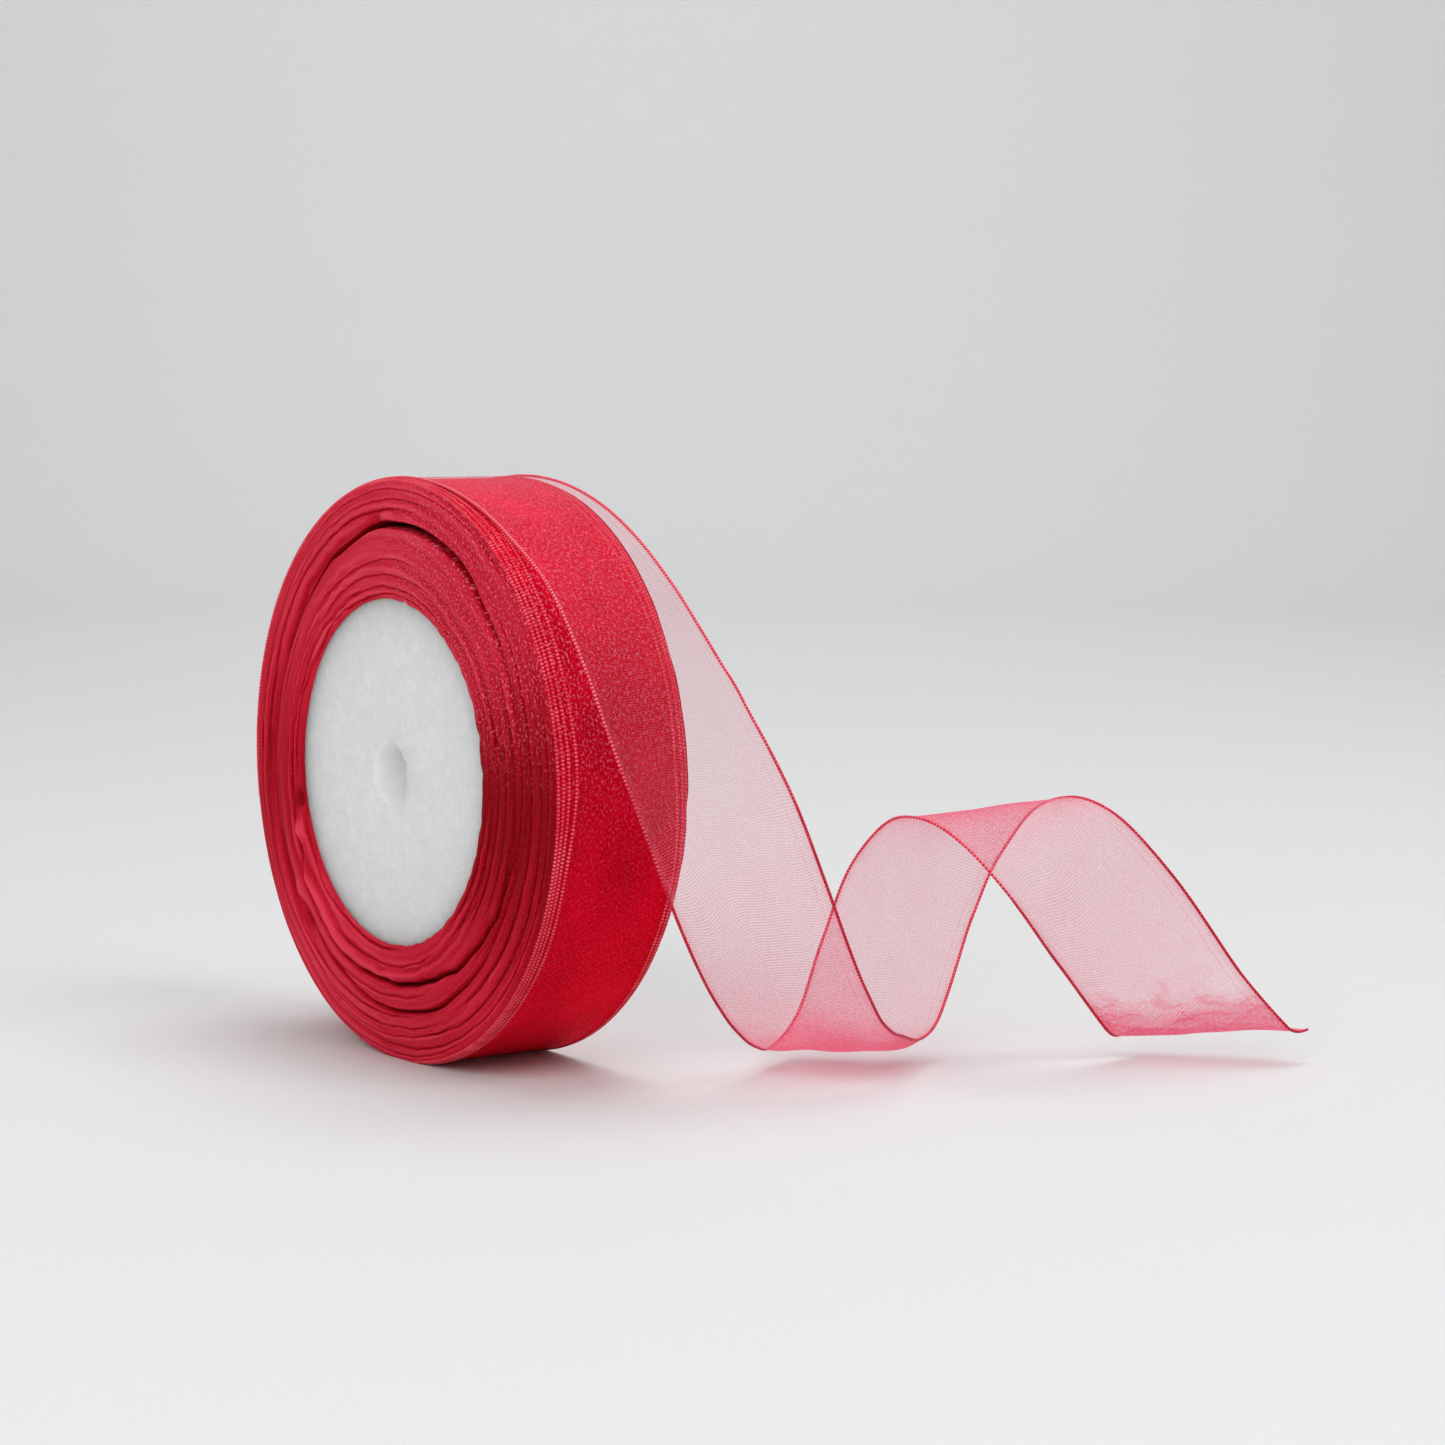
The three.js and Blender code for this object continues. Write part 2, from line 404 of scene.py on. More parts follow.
def rim_material():
    """The flat of the outermost turns: sheer layers stacked to a deep red, with a fine grain and painted
    glints.
    """
    material, tree = new_material("packed_ribbon_flat")
    uv, along, across, weft, warp = threads(tree)
    cloudy = noise(scaled(uv, 0.07, 0.10), 1.0, 3.0)
    grain = noise(scaled(uv, 1.5, 2.2), 1.0, 2.0, 0.6)
    base = ramp(cloudy, [(0.25, (0.62, 0.0, 0.009)), (0.55, (0.82, 0.0, 0.017)), (0.8, (1.0, 0.003, 0.036))])
    # the layers' threads beat against each other in a fine slanting pattern
    sway = noise(scaled(uv, 0.12, 0.16), 1.0, 2.0) * 5.0
    beat = waves(along * 0.80 + across * 0.62 + sway, BEAT_PITCH)
    cross = waves(along * 0.9 - across * 0.75 + sway, BEAT_PITCH)
    mesh = remap(beat + cross + weft * 0.6, -0.6, 2.2, 0.0, 0.5)
    base = mix_colour(mesh, base, (1.0, 0.012, 0.070))
    # painted glints: pale pink specks where the light catches the threads, most on the shoulder, half way
    # from the top to the viewer's side
    shoulder = remap(cosine(along / ROLL_RADIUS - 0.60), 0.30, 0.95, 0.12, 0.90, smooth=True)
    painted_glint = remap(grain, 0.52, 0.66, smooth=True) * shoulder
    base = mix_colour(painted_glint, base, (1.0, 0.22, 0.36))
    # painted shadow of the departing ribbon: below the place where it leaves the roll, the rim is painted
    # darker
    side = cosine(along / ROLL_RADIUS - 1.45)
    base = mix_colour(remap(side, 0.74, 1.0, 0.0, 0.24), base, (0.05, 0.0, 0.0))
    bump = relief(weft * 0.8 + warp * 0.5 + grain * 3.5 + mesh * 2.0, 0.9, 0.00013)
    more = {"Metallic": 0.65, "Specular Tint": (1.0, 0.30, 0.38, 1.0)}
    return finish_material(material, principled(base, bump, roughness=0.45, specular=0.03, more=more))


def edge_material():
    """The open face: hundreds of selvage edges side by side, with painted shade darker down in the gaps
    between turns, and painted glints.
    """
    material, tree = new_material("packed_ribbon_edges")
    uv, along, radius = weave_coordinates(tree)
    tone = signal(tree, "Attribute", "Fac", attribute_name="tone", attribute_type="GEOMETRY")
    fibre = noise(scaled(uv, 1.1, 5.5), 1.0, 3.0, 0.6)
    speck = noise(scaled(uv, 1.9, 2.4), 1.0, 2.0, 0.6)
    patch = noise(scaled(uv, 0.06, 0.5), 1.0, 2.0)
    turns = waves(radius, TURN_PITCH)
    level = clamped(tone + (fibre - 0.5) * 0.28 + (patch - 0.5) * 0.30 + turns * 0.035)
    # the darker stops are painted shade, which the tone reaches down in the gaps and where the face is shaded
    gaps = [(0.0, (0.28, 0.0, 0.005)), (0.30, (0.47, 0.002, 0.014))]
    edges = [(0.62, (0.70, 0.014, 0.042)), (1.0, (0.90, 0.060, 0.110))]
    colour = ramp(level, gaps + edges)
    # painted glints: pale pink specks where the light catches the threads, on the face's shoulder
    shoulder = remap(cosine(along / FACE_ARC - 0.72), 0.62, 0.96, 0.06, 0.64, smooth=True)
    painted_glint = remap(speck, 0.52, 0.68, smooth=True) * shoulder
    colour = mix_colour(painted_glint, colour, (1.0, 0.22, 0.32))
    bump = relief(fibre * 1.2 + speck * (shoulder * 2.4) + turns * 0.16, 0.8, 0.00022)
    sheen = (0.02, 0.35, (1.0, 0.30, 0.38, 1.0))
    return finish_material(material, principled(colour, bump, roughness=0.50, specular=0.04, sheen=sheen))


def foam_material():
    """Expanded polystyrene: pale, softly translucent, with the faint outlines of its beads."""
    material, tree = new_material("foam_beads")
    place = signal(tree, "TexCoord", "Object")
    inputs = {"Vector": place, "Scale": 420.0}
    outline = signal(tree, "TexVoronoi", "Distance", inputs, feature="DISTANCE_TO_EDGE")
    seams = remap(outline, 0.0, 0.16, smooth=True)
    cloudy = noise(place, 320.0, 4.0, 0.65)
    grain = noise(place, 2600.0, 2.0, 0.6)
    stops = [(0.30, (0.80, 0.815, 0.807)), (0.55, (0.84, 0.855, 0.847)), (0.78, (0.89, 0.905, 0.895))]
    colour = ramp(cloudy, stops)
    colour = mix_colour((1.0 - seams) * 0.20, colour, (0.70, 0.71, 0.705))
    # painted light: round the hole the foam is painted almost white, brighter than the light there makes it
    centre = (0.0, 0.0, ROLL_CENTRE * MM)
    from_centre = signal(tree, "VectorMath", 0, {0: place, 1: centre}, operation="SUBTRACT")
    radius = signal(tree, "VectorMath", "Value", {0: scaled(from_centre, 1.0, 0.0, 1.0)}, operation="LENGTH")
    colour = mix_colour(remap(radius, 0.0050, 0.0057, 1.0, 0.0, smooth=True), colour, (0.985, 0.985, 0.98))
    bump = relief(seams * 0.5 + grain * 0.5 + cloudy * 0.8, 0.5, 0.0003)
    glow = {"Subsurface Weight": 1.0, "Subsurface Radius": (1.0, 1.0, 1.0), "Subsurface Scale": 0.013}
    return finish_material(material, principled(colour, bump, roughness=0.62, specular=0.35, more=glow))


def tape_material():
    material, tree = new_material("starter_tape_film")
    place = signal(tree, "TexCoord", "Object")
    streak = noise(scaled(place, 900.0, 90.0, 900.0), 1.0, 3.0)
    colour = ramp(streak, [(0.3, (0.55, 0.47, 0.32)), (0.7, (0.72, 0.65, 0.50))])
    bump = relief(streak, 0.3, 0.00005)
    inputs = {"Base Color": colour, "Roughness": 0.28, "Coat Weight": 0.3, "Normal": bump}
    shader = signal(tree, "BsdfPrincipled", 0, inputs)
    return finish_material(material, shader)


def paper_material():
    material, tree = new_material("pale_paper_floor")
    place = signal(tree, "TexCoord", "Object")
    fine = noise(place, 900.0, 2.0)
    colour = ramp(fine, [(0.3, (0.749, 0.753, 0.756)), (0.7, (0.764, 0.768, 0.771))])
    inputs = {"Base Color": colour, "Roughness": 0.75, "Specular IOR Level": 0.2}
    shader = signal(tree, "BsdfPrincipled", 0, inputs)
    return finish_material(material, shader)


ORGANZA = organza_material()
SELVAGE = selvage_material(
    "selvage_thread", ((0.42, 0.004, 0.018), (0.76, 0.030, 0.070), (1.0, 0.22, 0.29)), painted_highlights=True
)
ROW_THREAD = selvage_material(
    "rim_row_thread", ((0.62, 0.004, 0.02), (0.90, 0.05, 0.10), (1.0, 0.20, 0.28)), worn_low=0.3
)
RIM = rim_material()
EDGES = edge_material()
FOAM = foam_material()
TAPE = tape_material()
PAPER = paper_material()

# ---------------------------------------------------------------- camera
camera_data = bpy.data.cameras.new("camera")
camera_data.sensor_width = 36.0
camera_data.lens = 87.2
camera_data.clip_start = 0.01
camera_data.clip_end = 20.0
camera = bpy.data.objects.new("camera", camera_data)
camera.location = (0.5135, -0.3185, 0.1119)
camera.rotation_euler = (math.radians(84.84), 0.0, math.radians(53.89))
bpy.context.scene.collection.objects.link(camera)
bpy.context.scene.camera = camera


# ---------------------------------------------------------------- the pack of turns
def around(theta, radius, along):
    """A place on the roll: theta from the top towards +X, in radians."""
    return np.stack([radius * np.sin(theta), along + 0 * theta, ROLL_CENTRE + radius * np.cos(theta)], -1)


def turn_difference(theta, at_degrees):
    """Angle from a place round the ring, in degrees, from -180 to 180."""
    return (np.degrees(theta) - at_degrees + 180.0) % 360.0 - 180.0


def ring_curve(theta, keys):
    """A closed curve through (degrees, value) keys, with a smooth step from each one to the next."""
    degrees = np.degrees(theta) % 360.0
    x, y = np.array(sorted((place % 360.0, value) for place, value in keys)).T
    x = np.concatenate([[x[-1] - 360.0], x, [x[0] + 360.0]])
    y = np.concatenate([[y[-1]], y, [y[0]]])
    i = np.clip(np.searchsorted(x, degrees, side="right") - 1, 0, len(x) - 2)
    t = (degrees - x[i]) / (x[i + 1] - x[i])
    t = t * t * (3 - 2 * t)
    return y[i] * (1 - t) + y[i + 1] * t


def boundary_radius(theta):
    """Where the inner group of turns ends and the outer group begins."""
    keys = [(0, 42.2), (25, 42.7), (50, 42.0), (80, 41.5), (110, 41.0), (140, 40.8), (165, 41.1), (185, 40.7),
            (205, 39.6), (225, 38.8), (245, 40.4), (262, 40.8), (285, 40.6), (310, 40.0), (335, 41.0)]
    return ring_curve(theta, keys) + 0.10 * ring_noise(theta, 11, 5, 22, 0.8)


def lower_fold_radius(theta):
    """The deep fold within the inner group, lowest at the bottom and climbing the left beside the core."""
    keys = [(100, 40.2), (120, 39.2), (140, 37.8), (160, 36.5), (185, 36.0), (210, 36.5), (228, 35.6),
            (245, 34.3), (270, 33.2), (300, 32.2), (330, 31.6), (0, 31.2), (60, 33.0)]
    return ring_curve(theta, keys) + 0.14 * ring_noise(theta, 12, 6, 40, 0.6)


# Narrow gaps between turns: radius at the middle, from and to in degrees, depth, width, drift of the radius
FINE_GAPS = [
    (30.5, -64, 30, 1.3, 0.17, 0.2), (31.7, -30, 50, 0.7, 0.15, -0.2), (33.8, -50, 34, 0.5, 0.15, 0.5),
    (36.2, -44, 20, 0.4, 0.14, 0.4), (44.6, -100, 16, 1.3, 0.24, 0.5), (46.4, -58, 22, 0.6, 0.14, 0.4),
    (48.3, -46, 50, 0.5, 0.12, 0.2),
    (31.2, 58, 148, 1.0, 0.18, -0.4), (33.0, 74, 150, 0.9, 0.20, -0.3), (35.1, 60, 136, 1.3, 0.22, -0.5),
    (37.4, 66, 128, 0.9, 0.20, -0.4), (39.6, 56, 126, 1.4, 0.24, -0.6), (43.6, 44, 160, 1.3, 0.24, -0.8),
    (45.8, 70, 176, 0.9, 0.18, -0.6), (47.6, 58, 196, 1.1, 0.16, -0.4), (30.8, 168, 256, 1.3, 0.20, 0.4),
    (33.2, 150, 214, 0.8, 0.16, 0.5), (38.6, 160, 226, 0.7, 0.17, 0.2), (42.2, 166, 236, 1.0, 0.18, 0.5),
    (44.0, 158, 226, 0.9, 0.16, 0.4), (45.5, 150, 214, 0.7, 0.14, 0.3), (48.6, 150, 232, 0.6, 0.13, 0.2),
    (31.0, 262, 322, 1.6, 0.22, -0.3), (34.8, 252, 322, 0.9, 0.20, -0.5), (38.0, 262, 312, 0.5, 0.16, 0.3),
    (46.8, 228, 292, 0.7, 0.20, 0.4),
]


def face_relief(radius, theta, seed=0):
    """How far the turns' edges stand back from the face's general slope, in mm, and their painted shade:
    darker where they stand back, lighter on the lips.
    """
    flow = radius + 0.22 * ring_noise(theta, 21 + seed, 3, 14, 1.0)
    flow = flow + 0.10 * ring_noise(theta, 22 + seed, 14, 60, 0.6)
    rows = np.zeros_like(radius)
    rng = np.random.default_rng(31 + seed)
    for k in range(18):  # broad and narrow rows of turns, each fading in and out round the ring
        pitch = 0.55 + 0.16 * k
        strength = (0.014 + 0.011 * k) * (0.6 + 0.4 * ring_noise(theta, 40 + k + seed, 1, 4, 0.5))
        rows += strength * np.sin(2 * np.pi * flow / pitch + rng.uniform(0, 6.28))
    back = 0.40 * rows
    # painted shade: rows that stand back are darker
    shade = -0.40 * rows
    # the turns run smoothly down the right side and are more crumpled on the left
    crumple = 0.35 + 0.65 * smoothstep(np.abs(turn_difference(theta, 85)), 40, 110)
    wiggle_near = ring_noise(theta, 23 + seed, 20, 90, 0.4)
    for number, (middle, start, end, depth, width, drift) in enumerate(FINE_GAPS):
        centre = (start + end) / 2
        half = (end - start) / 2
        off = turn_difference(theta, centre) / half
        fade = smoothstep(1 - np.abs(off), 0.0, 0.35)
        path = middle + drift * off
        wiggle = 0.13 * ring_noise(theta, 60 + number + seed, 4, 26, 0.8) + 0.04 * wiggle_near
        path = path + crumple * wiggle
        depth = 0.36 * depth
        near = bell(radius - path, width)
        # the turns just outside the gap lean over it a little; painted shade darkens the gap and painted
        # light brightens the lip
        lip = bell(radius - path - 2.2 * width, 1.8 * width)
        back += fade * depth * (near - 0.22 * lip)
        shade += fade * (-0.52 * near + 0.16 * lip)
    return back, shade


# General slope of the open face, and the one the back face mirrors: radius, place of the edges along Y
FACE_SLOPE = [(29.0, -14.35), (31.0, -14.55), (36.0, -14.75), (40.0, -14.35), (43.0, -13.85), (46.0, -13.4),
              (48.6, -12.95), (50.0, -12.6)]
BACK_SLOPE = [(29.0, -14.4), (36.0, -14.75), (43.0, -13.85), (50.0, -12.6)]
# Places where a few turns are folded over: radius, degrees, spread in degrees, width, depth
KINKS = [(32.5, 247, 3.2, 1.5, -0.9), (31.6, 257, 2.6, 1.0, 1.3), (38.6, 232, 3.6, 1.6, -0.8),
         (40.2, 226, 3.0, 1.0, 1.4), (43.4, -8, 3.0, 0.8, 0.9), (43.9, -2, 3.0, 0.8, -0.5)]


def face_front(radius, theta, seed=0):
    """Front edge of the turns (mm along Y, lower is nearer the viewer of the face) and their tone, which
    carries painted light and shade.
    """
    slope = np.interp(radius, *zip(*FACE_SLOPE))
    back, shade = face_relief(radius, theta, seed)
    # painted light and shade round the ring: lighter at the top and at seven o'clock, darkest at three
    # o'clock and darker at nine
    keys = [(0, 0.12), (50, -0.03), (95, -0.60), (150, -0.04), (215, 0.12), (265, -0.24), (310, 0.06)]
    shade = shade + ring_curve(theta, keys)
    # on the left the outer turns have slid apart, which leaves a broad hollow between the two groups; painted
    # shade darkens the hollow
    keys = [(205, 0.0), (235, 1.5), (270, 2.0), (300, 1.5), (335, 0.5), (10, 0.2), (60, 0.0)]
    hollow = ring_curve(theta, keys)
    valley = bell(radius - boundary_radius(theta) - 1.3, 1.5)
    back = back + hollow * valley
    shade = shade - 0.16 * hollow * valley
    # the lower fold is deep from four o'clock through six to eight, then shallow; painted shade darkens it
    keys = [(95, 0.2), (120, 1.1), (140, 2.2), (165, 2.8), (200, 2.8), (225, 2.2), (245, 1.5), (280, 0.9),
            (320, 0.4), (0, 0.2), (60, 0.1)]
    fold = ring_curve(theta, keys)
    off = radius - lower_fold_radius(theta)
    back = back + fold * np.exp(-np.abs(off / 0.34) ** 1.6) - 0.22 * fold * bell(off + 1.3, 0.9)
    shade = shade - np.minimum(fold, 1.4) * 0.62 * bell(off, 0.34)
    # slow unevenness round the ring, none beside the core
    back = back + 0.25 * ring_noise(theta, 25 + seed, 1, 3, 0.5) * smoothstep(radius, 31, 36)
    # painted shade on folded-over turns that stand back, painted light on those that stand out
    for middle, at, spread, wide, push in KINKS:
        spot = bell(turn_difference(theta, at), spread) * bell(radius - middle, wide)
        back = back + push * spot
        shade = shade - 0.45 * push * spot
    return slope + back, 0.62 + shade


RIM_FRONT = -12.55                # where the rim's flat meets the open face and the back face, along Y
RIM_BACK = 12.42
ROW_STEP = 0.10                   # thickness of a turn at the front rows of the rim, and at the back rows
BACK_ROW_STEP = 0.12


def group_rim(along, theta):
    """Radius of the outermost turns, which step back from the front edge in rows, with slight hollows."""
    steps = 0.0
    for edge in rim_rows(theta, True):
        steps = steps - ROW_STEP * (1 - smoothstep(along, edge - 0.10, edge + 0.10))
    for edge in rim_rows(theta, False):
        steps = steps - BACK_ROW_STEP * smoothstep(along, edge - 0.10, edge + 0.10)
    hollow = 0.10 * ring_noise(theta, 51, 2, 9, 0.8) * np.sin(np.pi * (along + 12.5) / RIBBON_WIDTH)
    return ROLL_RADIUS - 0.02 + steps - np.abs(hollow)


def rim_rows(theta, front):
    """Where the edges of the last few turns run on the rim, along Y."""
    keys = [(0, 0.9), (40, 1.15), (80, 1.0), (120, 0.62), (180, 0.5), (250, 0.5), (310, 0.65)]
    spread = ring_curve(theta, keys)
    waver = 0.06 * ring_noise(theta, 52, 2, 12, 0.7)
    if front:
        return [RIM_FRONT + spread * step + waver * (1 + step) for step in (0.8, 1.75, 3.1)]
    return [12.45 - spread * step - waver * (1 + step) for step in (0.8, 2.0)]


INNER_BACK = 10.4                 # where the hidden side of the inner group ends, along Y
# painted shade: the turns' hidden sides get a tone near the darkest, as if deep in shade
HIDDEN_SHADE_TONE = 0.05
BACK_SEED = 100
CLEAR_OF_TABLE = 0.03


def pack_group(name, inner, outer, angular, front_steps, back_steps, rim_steps, outer_is_rim):
    """One group of turns: a ring. Its section runs up the front face, over the outside, down the back."""
    theta = np.linspace(0, 2 * np.pi, angular, endpoint=False)
    r_in, r_out = inner(theta), outer(theta)
    sections, uvs, tones, kinds = [], [], [], []

    def add(radius, along, tone, u, v, kind):
        sections.append(around(theta, radius, along))
        uvs.append(np.stack([u, v], -1))
        tones.append(tone + 0 * theta)
        kinds.append(kind)

    arc = theta * FACE_ARC
    opening = group_gap(theta)
    for t in np.linspace(0, 1, front_steps):
        radius = r_in + (r_out - r_in) * t
        along, tone = face_front(radius, theta, 0)
        # the edges of a group roll over, so that the gap between the groups has soft lips; the tone is
        # painted darker into the gap as shade
        if outer_is_rim:
            start = 2.2 * falloff(radius - r_in, 0.60) ** 2 * opening
            corner = 0.12 * falloff(r_out - radius, 0.35) ** 2
            along = along + start + corner
            tone = tone - 0.8 * falloff(radius - r_in, 0.7) * opening
        else:
            start = 0.35 * falloff(radius - r_in, 0.60) ** 2
            lip = 1.8 * falloff(r_out - radius, 0.55) ** 2
            along = along + lip * opening + start
            tone = tone - 0.8 * falloff(r_out - radius, 0.6) * opening
        add(radius, along, tone, arc, radius, 0)
    front_edge = along
    if outer_is_rim:
        # closer together near both edges, where the rows of turns step back
        for t in 0.5 - 0.5 * np.cos(np.pi * np.linspace(0, 1, rim_steps)):
            along = front_edge + (RIM_BACK - front_edge) * t
            add(group_rim(along, theta), along, 0.6, theta * ROLL_RADIUS, along, 1)
    else:
        for t in np.linspace(0, 1, rim_steps)[1:-1]:
            along = front_edge + (INNER_BACK - front_edge) * t
            add(r_out, along, HIDDEN_SHADE_TONE, arc, r_out, 0)
    # the back face mirrors the front's general slope and has a relief of its own
    for t in np.linspace(1, 0, back_steps):
        radius = r_in + (r_out - r_in) * t
        along, tone = face_front(radius, theta, BACK_SEED)
        if outer_is_rim:
            lip = 0.0
            start = 1.4 * falloff(radius - r_in, 0.60) ** 2
        else:
            lip = 1.3 * falloff(r_out - radius, 0.5) ** 2
            start = 0.3 * falloff(radius - r_in, 0.60) ** 2
        slope = np.interp(radius, *zip(*BACK_SLOPE))
        along = RIBBON_WIDTH + along - 2 * (along - slope)
        add(radius, along - (lip + start) * opening, tone, arc, radius, 0)
    front_start, back_start = sections[0][:, 1], sections[-1][:, 1]
    for t in (0.25, 0.5, 0.75):
        add(r_in, back_start + (front_start - back_start) * t, HIDDEN_SHADE_TONE, arc, r_in, 0)
    points = np.stack(sections)
    rows, columns = points.shape[:2]
    points[..., 2] = np.maximum(points[..., 2], CLEAR_OF_TABLE)
    faces = grid_faces(rows, columns, close_rows=True, close_columns=True)
    kind = np.repeat(np.array(kinds), columns)
    face_kind = kind[faces[:, 0]]
    uv = np.stack(uvs).reshape(-1, 2)
    tone = np.stack(tones).ravel()
    piece = mesh_object(name, points.reshape(-1, 3), faces, uv, tone, (EDGES, RIM), face_kind)
    close_seam(piece, faces, columns, 2 * np.pi * np.where(face_kind == 1, ROLL_RADIUS, FACE_ARC))
    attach(piece, "spool")
    return piece


def close_seam(piece, faces, columns, lap):
    """Lets the weave coordinate run on over the last column of faces instead of jumping back to zero."""
    layer = piece.data.uv_layers["weave"]
    uv = np.zeros(len(layer.data) * 2, np.float32)
    layer.data.foreach_get("uv", uv)
    uv = uv.reshape(-1, 4, 2)
    wraps = (faces[:, 0] % columns) == columns - 1
    uv[wraps, 2:, 0] += lap[wraps, None]
    layer.data.foreach_set("uv", uv.ravel())


def group_gap(theta):
    """How far the two groups have parted, from 0 to 1: wide at the top and left, closed at three o'clock."""
    keys = [(0, 1.0), (30, 0.95), (48, 0.6), (62, 0.12), (90, 0.10), (120, 0.25), (150, 0.45), (190, 0.5),
            (225, 0.6), (255, 0.9), (290, 1.0), (330, 1.0)]
    return ring_curve(theta, keys)


def inner_edge(theta):
    """The first turns curl over the core's edge here and there."""
    curl = 0.22 * np.abs(ring_noise(theta, 71, 5, 26, 0.5))
    return 29.75 - curl + 0.08 * ring_noise(theta, 72, 26, 70, 0.4)


def gap_width(theta):
    return 0.03 + 0.55 * group_gap(theta)


def inner_side_of_gap(theta):
    return boundary_radius(theta) - gap_width(theta) / 2


def outer_side_of_gap(theta):
    return boundary_radius(theta) + gap_width(theta) / 2


def face_corner(theta):
    """Radius at which the face turns over into the rim."""
    return group_rim(RIM_FRONT + 0 * theta, theta)


inner_turns = pack_group("inner_turns", inner_edge, inner_side_of_gap, 640, 104, 40, 6, False)
outer_turns = pack_group("outer_turns", outer_side_of_gap, face_corner, 720, 74, 30, 30, True)
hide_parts("inner_winding")
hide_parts("outer_winding")


CORD_SIDES = 6
ROW_CORD_RADIUS = 0.25
ROW_BEADS = 0.25                  # how much thicker the front rows' cords are at their beads


def ring_cord(theta, radius, along, beads, offset):
    """Vertices and weave coordinates of a thread laid round the roll."""
    lift = 1 + beads * np.cos(2 * np.pi * (theta * ROLL_RADIUS + offset) / BEAD_PITCH)
    angle = np.linspace(0, 2 * np.pi, CORD_SIDES, endpoint=False)[:, None]
    r = radius + ROW_CORD_RADIUS * lift * np.cos(angle)
    y = along + ROW_CORD_RADIUS * lift * np.sin(angle)
    points = np.stack([r * np.sin(theta), y, ROLL_CENTRE + r * np.cos(theta)], -1)
    points[..., 2] = np.maximum(points[..., 2], CLEAR_OF_TABLE)
    uv = np.stack([theta * ROLL_RADIUS + offset + 0 * r, HALF_WIDTH + offset + 0 * r], -1)
    return points, uv


def selvage_rings():
    """The corded edges of the last few turns, round both rims."""
    vertices, faces, uvs, first = [], [], [], 0
    fine = np.linspace(0, 2 * np.pi, 1936, endpoint=False)
    coarse = np.linspace(0, 2 * np.pi, 720, endpoint=False)
    for front, theta in ((True, fine), (False, coarse)):
        rows = rim_rows(theta, front)
        side = -1 if front else 1
        corner = -12.50 if front else 12.34
        radii = [group_rim(corner + 0 * theta, theta) - 0.06]
        radii += [group_rim(row - side * 0.15, theta) + 0.02 for row in rows]
        for radius, along in zip(radii, [corner + 0 * theta, *rows]):
            offset = 0.23 * len(vertices)
            points, uv = ring_cord(theta, radius, along, ROW_BEADS if front else 0.0, offset)
            sides, columns = points.shape[:2]
            faces.append(grid_faces(sides, columns, True, True, first))
            first += sides * columns
            vertices.append(points.reshape(-1, 3))
            uvs.append(uv.reshape(-1, 2))
    faces = np.concatenate(faces)
    vertices, uv = np.concatenate(vertices), np.concatenate(uvs)
    piece = mesh_object("rim_selvages", vertices, faces[:, ::-1], uv, None, (ROW_THREAD,))
    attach(piece, "spool")


selvage_rings()


# ---------------------------------------------------------------- the foam core
FACE_RADIUS = 29.75               # the foam bulges a little past the first turns at the open face
FACE_RIM = 2.5                    # and is back to its own radius this deep


def foam_core():
    """A punched disc of bead foam: softly rounded rims, a shallow bead relief, a slightly torn hole."""
    theta = np.linspace(0, 2 * np.pi, 300, endpoint=False)
    beads = np.random.default_rng(5).uniform(-CORE_RADIUS, CORE_RADIUS, (900, 2))
    back = CORE_FRONT + CORE_THICKNESS

    def seams(radius):
        x, z = radius * np.sin(theta), radius * np.cos(theta)
        distance = np.sqrt((x[:, None] - beads[:, 0]) ** 2 + (z[:, None] - beads[:, 1]) ** 2)
        nearest = np.sort(distance, axis=1)[:, :2]
        return 0.05 * bell(nearest[:, 1] - nearest[:, 0], 0.35)

    torn = HOLE_RADIUS + 0.10 * ring_noise(theta, 81, 3, 20, 0.6)
    sections = []
    for radius in np.concatenate([[FACE_RADIUS], np.linspace(FACE_RADIUS - 0.25, HOLE_RADIUS + 0.6, 77)]):
        dip = 0.25 * falloff(FACE_RADIUS - radius, 0.4) + seams(radius)
        chip = 0.5 * bell(turn_difference(theta, 158), 34) * bell(radius - 5.9, 1.1)
        chip = chip + 0.35 * bell(turn_difference(theta, 62), 16) * bell(radius - 5.7, 0.7)
        sections.append(around(theta, radius, CORE_FRONT + dip + chip))
    for depth in (0.25, 0.6, 1.2, 2.4, 4.5, 7.0, 10.0, 13.0, 16.0, 19.0, 22.0, CORE_THICKNESS - 0.5):
        rounding = 0.35 * math.exp(-depth / 0.35)
        waver = 0.06 * ring_noise(theta, 82, 4, 24, 0.5) * math.cos(depth)
        sections.append(around(theta, torn + rounding + waver, CORE_FRONT + depth))
    for radius in np.linspace(HOLE_RADIUS + 0.4, CORE_RADIUS - 0.5, 40):
        sections.append(around(theta, radius, back - seams(radius)))
    sections.append(around(theta, CORE_RADIUS, back - 0.5))
    for depth in (0.75, 0.5, 0.25):
        along = CORE_FRONT + FACE_RIM + (CORE_THICKNESS - FACE_RIM - 0.5) * depth
        sections.append(around(theta, CORE_RADIUS, along))
    sections.append(around(theta, CORE_RADIUS, CORE_FRONT + FACE_RIM))
    points = np.stack(sections)
    faces = grid_faces(*points.shape[:2], close_rows=True, close_columns=True)
    piece = mesh_object("foam_disc", points.reshape(-1, 3), faces[:, ::-1], None, None, (FOAM,))
    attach(piece, "spool")
    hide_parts("foam_core")


foam_core()
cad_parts["starter_tape"].data.materials.clear()
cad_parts["starter_tape"].data.materials.append(TAPE)


# ---------------------------------------------------------------- the last turn and the free tail
def unit(vectors):
    return vectors / np.linalg.norm(vectors, axis=-1, keepdims=True)


